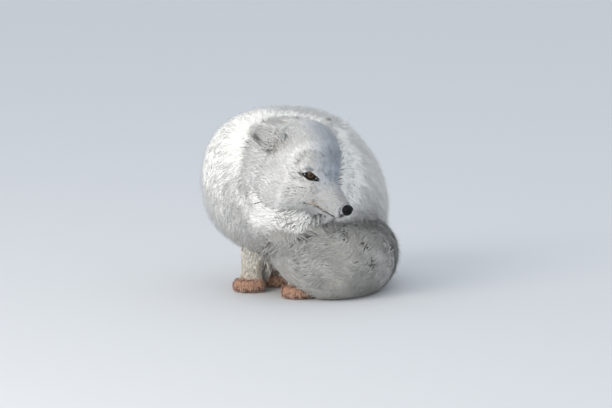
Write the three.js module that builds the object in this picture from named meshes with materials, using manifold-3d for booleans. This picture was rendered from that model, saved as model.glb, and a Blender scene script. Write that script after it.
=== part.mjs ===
// An arctic fox in its winter coat, life size, sitting hunched with its feet together, its tail wrapped
// round its left side and over its front feet, and its head turned to its left.
// Units are millimetres, +Z is up and the ground is z = 0. -Y is the side that the face and chest are seen
// from. The solids reach to the tips of the coat. Each is the zero surface of a distance field, made of
// ellipsoids and tapered limbs that flow into one another.
import * as THREE from "three";
import Module from "manifold-3d";

const wasm = await Module();
wasm.setup();

// ---- driving sizes -------------------------------------------------------------------------------------
const gap = 0.8; // clear space left between neighbouring pieces
const room = 4; // clear space that the tail leaves round the legs inside its curl
const sliver = 0.1; // shorter edges that a cut leaves are closed up
const step = 0.05; // over which a field's gradient is measured
const settling = 3; // times that each vertex is moved onto its surface
const coarser = 1.5; // how much wider the mesh of a hollow is than that of its solid
const trunkHeading = 35; // degrees from -Y towards -X that the chest points
const hub = new THREE.Vector3(12, 86, 0); // ground point under the middle of the trunk

const body = {
  chest: { at: [64, -39, 160], size: [78, 85, 86] }, // along, to the left, up
  shoulder: { at: [56, -52, 130], size: [68, 70, 58] },
  back: { at: [20, -11, 153], size: [124, 110, 110] },
  rump: { at: [-62, -1, 108], size: [82, 82, 108] },
  nape: { at: [76, -30, 187], size: [84, 76, 76] },
  throat: { at: [102, 40, 134], size: [48, 55, 56] },
  blend: 24,
};
const neckCut = { at: [88, 20, 165], way: [0.7, 0.65, 0.3] }; // the neck is the part beyond this plane

const head = {
  eyesAt: [34, -63, 186], // the point midway between the eyes
  yaw: 49, // degrees from -Y towards +X
  pitch: 20, // degrees down
  roll: 4, // degrees, the right side down
};
const skull = {
  crown: { at: [-42, 0, 9], size: [51, 53, 54] },
  forehead: { at: [-14, 0, 3], size: [30, 27, 24] },
  cheek: { at: [-40, 35, -30], size: [38, 33, 41] },
  gullet: { at: [-40, 0, -34], size: [36, 30, 36] },
  jowl: { at: [-17, 21, -31], size: [32, 23, 26] },
  brow: { at: [-4, 17, 7], size: [15, 11, 9] },
  muzzle: { from: [4, 0, -15], to: [53, 0, -28.5], radii: [20.5, 11] },
  lip: { from: [22, 8, -29], to: [48, 5, -34], radii: [11, 7.5] },
  jaw: { from: [-12, 0, -41], to: [43, 0, -41], radii: [20, 7] },
  blend: 11,
};
const eye = { from: [-14, 8, 0], gaze: [0.6, 0.79, 0.1], radius: 9.5, proud: 3.8, search: 0.1 };
const nose = { at: [60.5, 0, -27.3], size: [7.2, 9, 8.3] };
const ear = {
  length: 46,
  width: 36,
  depth: 26,
  wall: 4,
  rim: 1.6, // how far the hollow is set back from the front
  sunk: 6, // how far its root reaches below its own origin
  open: 4, // how far the hollow rises over the tip
  floor: 3, // how much higher the hollow starts
  right: { at: [-59, -47, 23], back: 37, out: 68, turn: 38 }, // degrees that it leans back and out
  left: { at: [-60, 48, 18], back: 25, out: 50, turn: 30 },
};

const frontLeg = {
  right: { foot: [88, -43], toes: 30, elbow: [64, -43, 118] }, // toes: degrees turned to the left
  left: { foot: [91, 45], toes: 33, elbow: [64, 38, 118] },
  radii: [33, 17.5, 16.5], // at the elbow, wrist and ankle
  wrist: { behind: 8, height: 62 },
  ankle: { behind: 5, height: 20 },
  blend: 8,
};
const hindLeg = {
  right: { foot: [29, -38], toes: 24, knee: [14, -54, 84], hock: [-52, -46, 26] },
  left: { foot: [29, 32], toes: 6, knee: [10, 48, 84], hock: [-52, 44, 26] },
  radii: [46, 22, 18], // at the knee, hock and toes
  ankle: { behind: 8, height: 15 },
  shin: { behind: 12, height: 26, radius: 37 },
  blend: 16,
};
const paw = {
  pad: { at: [-4, 0, 9], size: [22, 19, 15.5] },
  toe: { size: [12, 8.8, 10.5], apart: 10.7, height: 8.4 },
  inner: 18.7, // how far forward the two middle toes stand
  outer: 12.5,
  blend: 3.5,
};

const tail = {
  way: [
    // from the rump round the left side to the front, x, y, z
    [78, 176, 62],
    [94, 128, 50],
    [91, 68, 47],
    [78, 18, 47],
    [44, -16, 50],
    [11, -25, 62],
    [-13, -26, 73],
  ],
  radii: [34, 46, 49, 52, 54, 45, 32],
  cuts: [0.33, 0.68], // where it is parted, as shares of its length
  steps: 24, // limbs that its curve is made of
  blend: 6,
};

// Boxes that hold each solid, as a centre and the reach to each side.
const bounds = {
  body: { centre: [0, 85, 135], reach: 190 },
  head: { centre: [-12, 0, -10], reach: 104 },
  nose: { centre: nose.at, reach: 14 },
  ear: { centre: [0, 0, ear.length / 2], reach: 45 },
  paw: { centre: [2, 0, 10], reach: 50 },
  frontLeg: { height: 75, reach: 90 },
  hindLeg: { along: -30, height: 70, reach: 130 },
  tail: { centre: [40, 70, 60], reach: 175 },
};
// Mesh widths.
const cell = { body: 23, head: 9.2, ear: 7, eye: 4.8, nose: 4.4, leg: 14, paw: 8.4, tail: 17 };

// ---- colours -------------------------------------------------------------------------------------------
const coat = (color) => new THREE.MeshStandardMaterial({ color, roughness: 0.95, metalness: 0 });
const whiteCoat = coat(0xe9e6e0);
const faceCoat = coat(0xdcdbd7);
const legCoat = coat(0xe6dcc6);
const pawCoat = coat(0xa9745a);
const tailCoat = coat(0xd4d2cc);
const noseSkin = new THREE.MeshStandardMaterial({ color: 0x15151a, roughness: 0.45, metalness: 0 });
const eyeSurface = new THREE.MeshStandardMaterial({ color: 0x3a2210, roughness: 0.08, metalness: 0 });

// ---- distance fields -----------------------------------------------------------------------------------
const vec = (p) => new THREE.Vector3(...p);

// A smooth union of two distances, rounded over the width k.
function blendOf(a, b, k) {
  const h = Math.max(k - Math.abs(a - b), 0) / k;
  return Math.min(a, b) - (h * h * k) / 4;
}

// An ellipsoid, turned by a matrix if one is given.
function ellipsoid({ at, size }, turn = null) {
  const back = turn ? turn.clone().invert() : null;
  const q = new THREE.Vector3();
  return (p) => {
    q.set(p.x - at[0], p.y - at[1], p.z - at[2]);
    if (back) q.applyMatrix4(back);
    const near = Math.hypot(q.x / size[0], q.y / size[1], q.z / size[2]);
    const slope = Math.hypot(q.x / size[0] ** 2, q.y / size[1] ** 2, q.z / size[2] ** 2);
    return slope > 0 ? (near * (near - 1)) / slope : -Math.min(...size);
  };
}

// A limb with round ends that tapers from one radius to the other.
function limb(from, to, radii) {
  const a = vec(from);
  const along = vec(to).sub(a);
  const reach = along.lengthSq();
  const q = new THREE.Vector3();
  return (p) => {
    const t = THREE.MathUtils.clamp(q.copy(p).sub(a).dot(along) / reach, 0, 1);
    return q.addScaledVector(along, -t).length() - THREE.MathUtils.lerp(radii[0], radii[1], t);
  };
}

const joined = (fields, k) => (p) => fields.map((f) => f(p)).reduce((a, b) => blendOf(a, b, k));
const across = ([x, y, z]) => [x, -y, z];
const mirrored = ({ at, size }) => ({ at: across(at), size });

// ---- solids --------------------------------------------------------------------------------------------
const slope = new THREE.Vector3();

// The field's value at p, with its gradient left in slope.
function slopeAt(field, p) {
  const here = field(p);
  for (const axis of ["x", "y", "z"]) {
    const was = p[axis];
    p[axis] = was + step;
    slope[axis] = (field(p) - here) / step;
    p[axis] = was;
  }
  return here;
}

const cubeCorners = [0, 1, 2, 3, 4, 5, 6, 7].map((c) => [c & 1, (c >> 1) & 1, c >> 2]);
const cubeEdges = [1, 2, 4].flatMap((side) =>
  cubeCorners.map((_, c) => [c, c + side]).filter(([c]) => !(c & side)),
);

// Visits each grid place from the first one up to, but not onto, the counts.
function eachPlace(first, [nx, ny, nz], visit) {
  for (let k = first; k < nz; k++) {
    for (let j = first; j < ny; j++) {
      for (let i = first; i < nx; i++) {
        visit(i, j, k);
      }
    }
  }
}

// The surface where the field is zero, in a box round it: one vertex for each grid cell that it crosses,
// moved onto the surface, and one quad for each grid edge that it crosses.
function surfaceOf(field, around, size) {
  const box = around.clone().expandByScalar(size);
  const count = box.getSize(new THREE.Vector3()).divideScalar(size).ceil().addScalar(1);
  const [nx, ny, nz] = count.toArray();
  const inner = [nx - 1, ny - 1, nz - 1];
  const id = (i, j, k) => i + nx * (j + ny * k);
  const p = new THREE.Vector3();
  const value = new Float32Array(nx * ny * nz);
  eachPlace(0, [nx, ny, nz], (i, j, k) => {
    value[id(i, j, k)] = field(p.set(i, j, k).multiplyScalar(size).add(box.min));
  });

  const points = [];
  const vertexOf = new Map();
  eachPlace(0, inner, (i, j, k) => {
    const v = cubeCorners.map(([a, b, c]) => value[id(i + a, j + b, k + c)]);
    const crossed = cubeEdges.filter(([a, b]) => v[a] < 0 !== v[b] < 0);
    if (!crossed.length) return;
    const middle = new THREE.Vector3();
    for (const [a, b] of crossed) {
      const t = v[a] / (v[a] - v[b]);
      middle.add(vec(cubeCorners[a]).lerp(vec(cubeCorners[b]), t));
    }
    middle.divideScalar(crossed.length).add(p.set(i, j, k)).multiplyScalar(size).add(box.min);
    for (let n = 0; n < settling; n++) {
      const off = slopeAt(field, middle);
      middle.addScaledVector(slope, -off / slope.lengthSq());
    }
    vertexOf.set(id(i, j, k), points.length);
    points.push(middle);
  });

  const faces = [];
  const axes = [[1, 0, 0], [0, 1, 0], [0, 0, 1]];
  const ringOffsets = [[0, 0], [1, 0], [1, 1], [0, 1]];
  eachPlace(1, inner, (i, j, k) => {
    const inside = value[id(i, j, k)] < 0;
    axes.forEach(([a, b, c], axis) => {
      if (inside === value[id(i + a, j + b, k + c)] < 0) return;
      const u = axes[(axis + 1) % 3];
      const w = axes[(axis + 2) % 3];
      const ring = ringOffsets.map(([m, n]) =>
        vertexOf.get(id(i - m * u[0] - n * w[0], j - m * u[1] - n * w[1], k - m * u[2] - n * w[2])),
      );
      if (!inside) ring.reverse();
      const [q0, q1, q2, q3] = ring;
      const short = points[q0].distanceToSquared(points[q2]) < points[q1].distanceToSquared(points[q3]);
      faces.push(...(short ? [q0, q1, q2, q0, q2, q3] : [q0, q1, q3, q1, q2, q3]));
    });
  });
  return { points, faces };
}

const solidFrom = (points, faces) =>
  new wasm.Manifold(
    new wasm.Mesh({
      numProp: 3,
      vertProperties: new Float32Array(points.flatMap((p) => p.toArray())),
      triVerts: new Uint32Array(faces),
    }),
  );

// A solid and the same solid swollen by the gap, which cuts its neighbours, both placed by a matrix. Its
// hollow is a coarser, larger copy, for the neighbour that closes round it.
function solidOf(field, box, size, place = new THREE.Matrix4()) {
  const { points, faces } = surfaceOf(field, box, size);
  const swollen = points.map((p) => {
    slopeAt(field, p);
    return p.clone().addScaledVector(slope.clone().normalize(), gap);
  });
  const placed = (list, order) => solidFrom(list.map((p) => p.clone().applyMatrix4(place)), order);
  const hollow = () => {
    const loose = surfaceOf((p) => field(p) - room, box, size * coarser);
    return placed(loose.points, loose.faces);
  };
  return { solid: placed(points, faces), cutter: placed(swollen, faces), hollow };
}

const boxAround = ({ centre, reach }) =>
  new THREE.Box3(vec(centre).subScalar(reach), vec(centre).addScalar(reach));

// The largest single body of what is left of a solid after its neighbours are cut out of it.
function cutBy(solid, ...cutters) {
  const left = cutters.reduce((s, c) => s.subtract(c), solid);
  return left.decompose().sort((a, b) => b.volume() - a.volume())[0];
}

// ---- frames --------------------------------------------------------------------------------------------
const trunkTurn = new THREE.Matrix4().makeRotationZ(THREE.MathUtils.degToRad(-90 - trunkHeading));
const trunkFrame = new THREE.Matrix4().makeTranslation(...hub).multiply(trunkTurn);
const placed = ([x, y, z = 0]) => new THREE.Vector3(x, y, z).applyMatrix4(trunkFrame).toArray();
const inTrunk = ({ at, size }) => ellipsoid({ at: placed(at), size }, trunkTurn);

const headFrame = new THREE.Matrix4().makeTranslation(...head.eyesAt).multiply(
  new THREE.Matrix4().makeRotationFromEuler(
    new THREE.Euler(
      THREE.MathUtils.degToRad(-head.roll),
      THREE.MathUtils.degToRad(head.pitch),
      THREE.MathUtils.degToRad(head.yaw - 90),
      "ZYX",
    ),
  ),
);

// ---- trunk and neck ------------------------------------------------------------------------------------
const { chest, shoulder, back, rump, nape, throat } = body;
const bodySolid = solidOf(
  joined([chest, shoulder, back, rump, nape, throat].map(inTrunk), body.blend),
  boxAround(bounds.body),
  cell.body,
);

// The two sides of a thin cut through a solid, the one that the plane faces first.
function partedAt(solid, at, way) {
  const beyond = solid.splitByPlane(way.toArray(), at.dot(way) + gap / 2)[0];
  const before = solid.splitByPlane(way.toArray(), at.dot(way) - gap / 2)[1];
  return [beyond, before];
}

// ---- head ----------------------------------------------------------------------------------------------
function headField() {
  const both = [skull.cheek, skull.jowl, skull.brow].flatMap((part) => [part, mirrored(part)]);
  const { muzzle, jaw, lip } = skull;
  const lipAcross = { from: across(lip.from), to: across(lip.to), radii: lip.radii };
  const limbs = [muzzle, jaw, lip, lipAcross].map(({ from, to, radii }) => limb(from, to, radii));
  const rounds = [skull.crown, skull.forehead, skull.gullet, ...both].map((part) => ellipsoid(part));
  return joined([...rounds, ...limbs], skull.blend);
}
const headShape = headField();
const headSolid = solidOf(headShape, boxAround(bounds.head), cell.head, headFrame);

// An eyeball stands as far out of the coat along its gaze as eye.proud says.
function eyeSolid(side) {
  const gaze = vec(eye.gaze).normalize();
  const at = vec(eye.from);
  while (headShape(at) < eye.proud - eye.radius) at.addScaledVector(gaze, eye.search);
  const centre = [at.x, side * at.y, at.z];
  const ball = ellipsoid({ at: centre, size: Array(3).fill(eye.radius) });
  return solidOf(ball, boxAround({ centre, reach: eye.radius + cell.eye }), cell.eye, headFrame);
}
const eyeSolids = { right: eyeSolid(-1), left: eyeSolid(1) };
const noseSolid = solidOf(ellipsoid(nose), boxAround(bounds.nose), cell.nose, headFrame);

// An ear is a round-tipped cup. Its own frame has +Z to the tip and +X out of its mouth.
function earSolid(side, { at, back, out, turn }) {
  const { length, width, depth, wall } = ear;
  const outer = { at: [0, 0, length / 2 - ear.sunk], size: [depth / 2, width / 2, length / 2 + ear.sunk] };
  const inner = {
    at: [depth / 2 - ear.rim, 0, length / 2 - ear.floor],
    size: [depth / 2, width / 2 - wall, length / 2 + ear.open],
  };
  const place = headFrame.clone()
    .multiply(new THREE.Matrix4().makeTranslation(...at))
    .multiply(new THREE.Matrix4().makeRotationX(THREE.MathUtils.degToRad(-side * out)))
    .multiply(new THREE.Matrix4().makeRotationY(THREE.MathUtils.degToRad(-back)))
    .multiply(new THREE.Matrix4().makeRotationZ(THREE.MathUtils.degToRad(side * turn)));
  const around = boxAround(bounds.ear);
  const shell = solidOf(ellipsoid(outer), around, cell.ear, place).solid;
  return shell.subtract(solidOf(ellipsoid(inner), around, cell.ear, place).solid);
}
const earSolids = { right: earSolid(-1, ear.right), left: earSolid(1, ear.left) };

// ---- legs and paws -------------------------------------------------------------------------------------
// A paw's own frame has its ankle over the origin and +X towards the toes.
function pawSolid({ foot, toes }) {
  const { pad, toe, inner, outer } = paw;
  const toeFields = [-1.5, -0.5, 0.5, 1.5].map((n) =>
    ellipsoid({ at: [Math.abs(n) > 1 ? outer : inner, n * toe.apart, toe.height], size: toe.size }),
  );
  const place = new THREE.Matrix4().makeTranslation(...placed(foot))
    .multiply(trunkTurn)
    .multiply(new THREE.Matrix4().makeRotationZ(THREE.MathUtils.degToRad(toes)));
  return solidOf(joined([ellipsoid(pad), ...toeFields], paw.blend), boxAround(bounds.paw), cell.paw, place);
}

// A point of a leg, behind the middle of its foot.
const behindFoot = (foot, { behind, height }) => placed([foot[0] - behind, foot[1], height]);

function frontLegSolid({ foot, elbow }) {
  const [upper, wrist, ankle] = frontLeg.radii;
  const wristAt = behindFoot(foot, frontLeg.wrist);
  const parts = [
    limb(placed(elbow), wristAt, [upper, wrist]),
    limb(wristAt, behindFoot(foot, frontLeg.ankle), [wrist, ankle]),
  ];
  const { height, reach } = bounds.frontLeg;
  const box = boxAround({ centre: placed([...foot, height]), reach });
  return solidOf(joined(parts, frontLeg.blend), box, cell.leg);
}

function hindLegSolid({ foot, knee, hock }) {
  const [thigh, hockRadius, ankle] = hindLeg.radii;
  const parts = [
    limb(placed(knee), placed(hock), [thigh, hockRadius]),
    limb(placed(hock), behindFoot(foot, hindLeg.ankle), [hockRadius, ankle]),
    limb(placed(knee), behindFoot(foot, hindLeg.shin), [hindLeg.shin.radius, ankle]),
  ];
  const { along, height, reach } = bounds.hindLeg;
  const box = boxAround({ centre: placed([along, foot[1], height]), reach });
  return solidOf(joined(parts, hindLeg.blend), box, cell.leg);
}

const sides = ["right", "left"];
const bySide = (make) => Object.fromEntries(sides.map((side) => [side, make(side)]));
const frontPaws = bySide((side) => pawSolid(frontLeg[side]));
const hindPaws = bySide((side) => pawSolid(hindLeg[side]));
const frontLegs = bySide((side) => frontLegSolid(frontLeg[side]));
const hindLegs = bySide((side) => hindLegSolid(hindLeg[side]));

// ---- tail ----------------------------------------------------------------------------------------------
const tailCurve = new THREE.CatmullRomCurve3(tail.way.map(vec));
const tailSpots = Array.from({ length: tail.steps + 1 }, (_, n) => {
  const t = n / tail.steps;
  const spot = t * (tail.radii.length - 1);
  const first = Math.min(Math.floor(spot), tail.radii.length - 2);
  const radius = THREE.MathUtils.lerp(tail.radii[first], tail.radii[first + 1], spot - first);
  return { at: tailCurve.getPoint(t).toArray(), radius };
});
const tailField = joined(
  tailSpots.slice(1).map((spot, n) => limb(tailSpots[n].at, spot.at, [tailSpots[n].radius, spot.radius])),
  tail.blend,
);
const tailSolid = solidOf(tailField, boxAround(bounds.tail), cell.tail);

// The tail is parted square across its way.
function tailLengths(whole) {
  const pieces = [];
  let rest = whole;
  for (const share of tail.cuts) {
    const [beyond, before] = partedAt(rest, tailCurve.getPoint(share), tailCurve.getTangent(share));
    pieces.push(before);
    rest = beyond;
  }
  return [...pieces, rest];
}

// ---- the object ----------------------------------------------------------------------------------------
const block = { side: 1000, depth: 60 }; // what is trimmed off below the ground
const ground = new THREE.BoxGeometry(block.side, block.side, block.depth).translate(0, 0, -block.depth / 2);

function solidOfGeometry(geometry) {
  const spots = [];
  const order = [];
  const seen = new Map();
  const position = geometry.toNonIndexed().getAttribute("position");
  for (let n = 0; n < position.count; n++) {
    const p = new THREE.Vector3().fromBufferAttribute(position, n);
    const key = p.toArray().join();
    if (!seen.has(key)) seen.set(key, spots.push(p) - 1);
    order.push(seen.get(key));
  }
  return solidFrom(spots, order);
}
const floorBlock = solidOfGeometry(ground);

// The triangles of a solid once the two ends of each edge shorter than the sliver are made one.
function closeShortEdges({ vertProperties, triVerts }) {
  const spot = (n) => new THREE.Vector3().fromArray(vertProperties, 3 * n);
  const stands = Array.from({ length: vertProperties.length / 3 }, (_, n) => n);
  const standIn = (n) => (stands[n] === n ? n : standIn(stands[n]));
  for (let n = 0; n < triVerts.length; n++) {
    const a = standIn(triVerts[n]);
    const b = standIn(triVerts[n % 3 === 2 ? n - 2 : n + 1]);
    if (a !== b && spot(a).distanceTo(spot(b)) < sliver) stands[b] = a;
  }
  const kept = new Map();
  for (let n = 0; n < triVerts.length; n += 3) {
    const triangle = [0, 1, 2].map((c) => standIn(triVerts[n + c]));
    if (new Set(triangle).size < 3) continue;
    const key = [...triangle].sort((a, b) => a - b).join();
    if (!kept.delete(key)) kept.set(key, triangle); // two that lie face to face go together
  }
  return [...kept.values()].flat();
}

const fox = new THREE.Group();

function add(name, solid, material) {
  const mesh = solid.getMesh();
  const geometry = new THREE.BufferGeometry()
    .setAttribute("position", new THREE.BufferAttribute(new Float32Array(mesh.vertProperties), 3))
    .setIndex(new THREE.BufferAttribute(new Uint32Array(closeShortEdges(mesh)), 1));
  geometry.computeVertexNormals();
  const made = new THREE.Mesh(geometry, material);
  made.name = name;
  fox.add(made);
}

const limbPairs = [frontLegs, frontPaws, hindLegs, hindPaws];
const limbHollows = limbPairs.flatMap((pair) => sides.map((side) => pair[side].hollow()));
const frontCutters = [frontLegs, frontPaws].flatMap((pair) => sides.map((side) => pair[side].cutter));
const [neckPart, trunkPart] = partedAt(
  cutBy(bodySolid.solid, floorBlock),
  vec(placed(neckCut.at)),
  vec(neckCut.way).transformDirection(trunkFrame),
);

add("trunk", cutBy(trunkPart), whiteCoat);
add("neck", cutBy(neckPart), whiteCoat);
const headCutters = [bodySolid, noseSolid, eyeSolids.right, eyeSolids.left].map(({ cutter }) => cutter);
add("head", cutBy(headSolid.solid, ...headCutters), faceCoat);
add("nose", noseSolid.solid, noseSkin);
for (const side of sides) {
  const around = [bodySolid.cutter, floorBlock];
  add("eye_" + side, eyeSolids[side].solid, eyeSurface);
  add("ear_" + side, cutBy(earSolids[side], bodySolid.cutter, headSolid.cutter), faceCoat);
  add("front_leg_" + side, cutBy(frontLegs[side].solid, ...around, frontPaws[side].cutter), legCoat);
  add("front_paw_" + side, cutBy(frontPaws[side].solid, floorBlock), pawCoat);
  const hindLegPart = cutBy(hindLegs[side].solid, ...around, hindPaws[side].cutter, ...frontCutters);
  add("hind_leg_" + side, hindLegPart, legCoat);
  const hindPawPart = cutBy(hindPaws[side].solid, ...around, ...frontCutters);
  add("hind_paw_" + side, hindPawPart, pawCoat);
}
const wholeTail = cutBy(tailSolid.solid, bodySolid.cutter, ...limbHollows, floorBlock);
tailLengths(wholeTail).forEach((piece, n) =>
  add("tail_" + ["base", "middle", "tip"][n], cutBy(piece), tailCoat),
);

// The origin is on the ground under the middle of the whole box.
const extent = new THREE.Box3().setFromObject(fox);
const middle = extent.getCenter(new THREE.Vector3());
fox.position.set(-middle.x, -middle.y, -extent.min.z);

export default fox;
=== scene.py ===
import math
import time

import bmesh
import bpy
import numpy as np
from mathutils import Matrix, Vector
from mathutils.bvhtree import BVHTree
from mathutils.kdtree import KDTree


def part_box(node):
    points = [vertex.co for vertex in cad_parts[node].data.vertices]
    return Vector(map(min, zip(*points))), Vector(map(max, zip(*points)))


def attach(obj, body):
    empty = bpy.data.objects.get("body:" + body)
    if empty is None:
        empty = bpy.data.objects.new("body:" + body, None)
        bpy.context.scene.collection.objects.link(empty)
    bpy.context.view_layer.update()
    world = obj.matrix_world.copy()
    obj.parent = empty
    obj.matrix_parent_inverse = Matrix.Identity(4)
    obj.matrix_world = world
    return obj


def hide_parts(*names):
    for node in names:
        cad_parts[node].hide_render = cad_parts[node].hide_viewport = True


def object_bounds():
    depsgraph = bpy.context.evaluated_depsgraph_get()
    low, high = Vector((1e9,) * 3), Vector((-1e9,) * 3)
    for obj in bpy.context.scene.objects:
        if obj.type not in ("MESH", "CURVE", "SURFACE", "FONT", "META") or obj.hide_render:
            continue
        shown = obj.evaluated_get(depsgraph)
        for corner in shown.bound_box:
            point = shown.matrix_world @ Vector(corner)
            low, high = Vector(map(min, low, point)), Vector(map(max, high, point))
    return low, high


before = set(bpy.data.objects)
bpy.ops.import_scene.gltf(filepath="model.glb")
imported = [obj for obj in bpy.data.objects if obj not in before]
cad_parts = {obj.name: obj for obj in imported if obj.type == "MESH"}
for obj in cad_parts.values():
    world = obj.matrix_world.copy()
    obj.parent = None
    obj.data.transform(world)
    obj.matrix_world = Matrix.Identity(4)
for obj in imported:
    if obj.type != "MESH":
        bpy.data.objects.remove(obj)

begun = time.time()
mm = 0.001
scene = bpy.context.scene
cadBox = [list(corner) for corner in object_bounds()]
chance = np.random.default_rng(11)
sides = {"right": -1, "left": 1}  # with the sign of y in the fox's own frames


def stage(words):
    print(f"[{time.time() - begun:5.1f} s] {words}")


# the trunk's frame has +X towards the chest, +Y to the fox's left
trunkPlace = {"heading": 35, "hub": (10.74, 29.88, 0)}
headPlace = {"yaw": 49, "pitch": 20, "roll": 4, "eyeCentres": (-1.1, 0, 2.2)}


def turned(axis, degrees):
    return Matrix.Rotation(math.radians(degrees), 4, axis)


def shifted(place):
    return Matrix.Translation(Vector(place) * mm)


def stretched(size):
    return Matrix.Diagonal((*[each * mm for each in size], 1))


def nodeCentre(node):
    low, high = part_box(node)
    return (low + high) / 2


trunkFrame = shifted(trunkPlace["hub"]) @ turned("Z", -90 - trunkPlace["heading"])
headTurn = (turned("Z", headPlace["yaw"] - 90) @ turned("Y", headPlace["pitch"])
            @ turned("X", -headPlace["roll"]))
betweenEyes = (nodeCentre("eye_left") + nodeCentre("eye_right")) / 2
headFrame = Matrix.Translation(betweenEyes - headTurn @ (Vector(headPlace["eyeCentres"]) * mm)) @ headTurn
fleshNodes = [name for name in sorted(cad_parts) if not name.startswith(("eye", "nose"))]


def towards(matrix, vectors):
    return np.asarray(vectors, float) @ np.array(matrix.to_3x3()).T


def inFrame(matrix, points):
    return towards(matrix, points) + np.array(matrix.translation)


def headPlaces(points):
    # places in the head's frame, in mm
    return inFrame(headFrame.inverted(), points) / mm


def placed(name, data):
    piece = bpy.data.objects.new(name, data)
    scene.collection.objects.link(piece)
    return piece


def pieceFrom(bm, name):
    mesh = bpy.data.meshes.new(name)
    bm.to_mesh(mesh)
    bm.free()
    return placed(name, mesh)


def finished(bm, name):
    bmesh.ops.recalc_face_normals(bm, faces=bm.faces)
    return pieceFrom(bm, name)


def nodesJoined(names):
    # copies of CAD nodes, merged at their corners
    bm = bmesh.new()
    for name in names:
        bm.from_mesh(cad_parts[name].data)
    bmesh.ops.remove_doubles(bm, verts=bm.verts, dist=0.02 * mm)
    return pieceFrom(bm, "joined")


def meshNow(piece):
    # the mesh as modifiers leave it
    bpy.context.view_layer.update()
    return bpy.data.meshes.new_from_object(piece.evaluated_get(bpy.context.evaluated_depsgraph_get()))


def remeshed(piece, voxel, smoothing):
    remesh = piece.modifiers.new("remesh", "REMESH")
    remesh.mode = "VOXEL"
    remesh.voxel_size = voxel * mm
    remesh.use_smooth_shade = True
    smooth = piece.modifiers.new("smooth", "SMOOTH")
    smooth.factor = 0.5
    smooth.iterations = smoothing
    mesh = meshNow(piece)
    piece.modifiers.clear()
    old = piece.data
    piece.data = mesh
    bpy.data.meshes.remove(old)
    return piece


def pulled(items, field, width=3, kind=np.float32):
    # one field of a mesh's items, in rows
    values = np.empty(len(items) * width, kind)
    items.foreach_get(field, values)
    return values.reshape(-1, width)


def pushed(items, field, values, kind=np.float32):
    items.foreach_set(field, values.astype(kind).ravel())


def corners(mesh):
    return pulled(mesh.vertices, "co").astype(float)


def cornerNormals(mesh):
    return pulled(mesh.vertex_normals, "vector").astype(float)


def setCorners(mesh, co):
    pushed(mesh.vertices, "co", co)
    mesh.update()


def swollen(piece, distance):
    setCorners(piece.data, corners(piece.data) + cornerNormals(piece.data) * distance * mm)


def unit(vectors):
    return vectors / np.maximum(np.linalg.norm(vectors, axis=-1, keepdims=True), 1e-9)


def ramp(values, low, high):
    # 0 below low, 1 above high, smooth between
    t = np.clip((values - low) / (high - low), 0, 1)
    return t * t * (3 - 2 * t)


def poured(bm, part, matrix):
    # moves a small bmesh into a large one
    mesh = bpy.data.meshes.new("part")
    part.to_mesh(mesh)
    part.free()
    mesh.transform(matrix)
    bm.from_mesh(mesh)
    bpy.data.meshes.remove(mesh)


def lump(bm, matrix, at, size):
    ball = bmesh.new()
    bmesh.ops.create_uvsphere(ball, u_segments=36, v_segments=18, radius=1)
    poured(bm, ball, matrix @ shifted(at) @ stretched(size))


def limb(bm, matrix, start, end, radii):
    # a tapered round bar with round ends
    start, end = Vector(start), Vector(end)
    way = end - start
    turn = way.to_track_quat("Z", "Y").to_matrix().to_4x4()
    bar = bmesh.new()
    bmesh.ops.create_cone(bar, cap_ends=True, segments=32, radius1=radii[0] * mm, radius2=radii[1] * mm,
                          depth=way.length * mm)
    poured(bm, bar, matrix @ shifted((start + end) / 2) @ turn)
    for at, radius in zip((start, end), radii):
        lump(bm, matrix, at, (radius, radius, radius))


def treeOf(piece):
    bpy.context.view_layer.update()
    return BVHTree.FromObject(piece, bpy.context.evaluated_depsgraph_get())


stage("coat's outer surface")
# what the hair tips reach, in mm; hollows narrower than the bridge can be filled
outerForm = {"voxel": 3.5, "bridgedVoxel": 5, "smoothing": 4, "bridge": 48}


def coatSurface(names, bridge=0):
    wanted = [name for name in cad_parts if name.startswith(names)]
    piece = remeshed(nodesJoined(wanted), outerForm["voxel"], outerForm["smoothing"])
    if bridge:
        swollen(piece, bridge)
        piece = remeshed(piece, outerForm["bridgedVoxel"], outerForm["smoothing"])
        swollen(piece, -bridge)
    return piece


def outerTree(names, bridge=0):
    piece = coatSurface(names, bridge)
    tree = treeOf(piece)
    bpy.data.objects.remove(piece)
    return tree


bodyOuter = outerTree(("trunk", "neck", "head", "eye", "nose", "tail"))
softOuter = outerTree(("trunk", "neck", "head", "eye", "nose"), outerForm["bridge"])
legOuter = outerTree(("trunk", "neck", "front", "hind"))

# sizes in mm, in the head's frame: +X to the nose, +Y to the fox's left, +Z up, from midway between the eyes
skinForms = {
    "coreDepth": 28, "coreBridge": 16, "coreVoxel": 6, "coreSmoothing": 6,
    "rounds": [
        ((-42, 0, 7), (38, 40, 41)),
        ((-15, 0, 2), (26, 22, 20)),
        ((-40, 0, -34), (24, 22, 24)),
    ],
    "paired": [
        ((-39, 30, -27), (30, 24, 30)),
        ((-17, 20, -30), (30, 20.5, 23)),
        ((-4, 17, 6.5), (18, 13, 11.5)),
        ((-17, 24, -6), (21, 15, 16)),
        ((3, 15, -16), (19, 11, 11)),
    ],
    # muzzle, jaw, bridge of the nose and both lips
    "bars": [
        ((4, 0, -15.5), (50.5, 0, -28), (18.8, 9.8)),
        ((-12, 0, -39.5), (40, 0, -42.5), (18, 6.6)),
        ((10, 0, -3), (50, 0, -22), (7.5, 5.5)),
        ((22, 8.5, -30), (46.5, 5.6, -33.5), (11, 7.2)),
        ((22, -8.5, -30), (46.5, -5.6, -33.5), (11, 7.2)),
    ],
    "voxel": 2.3, "smoothing": 7,
    "soleHeight": 0.4,
    "faceDepth": 1.3, "faceBack": -30, "faceFront": 54, "faceReach": 80,
}
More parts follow.
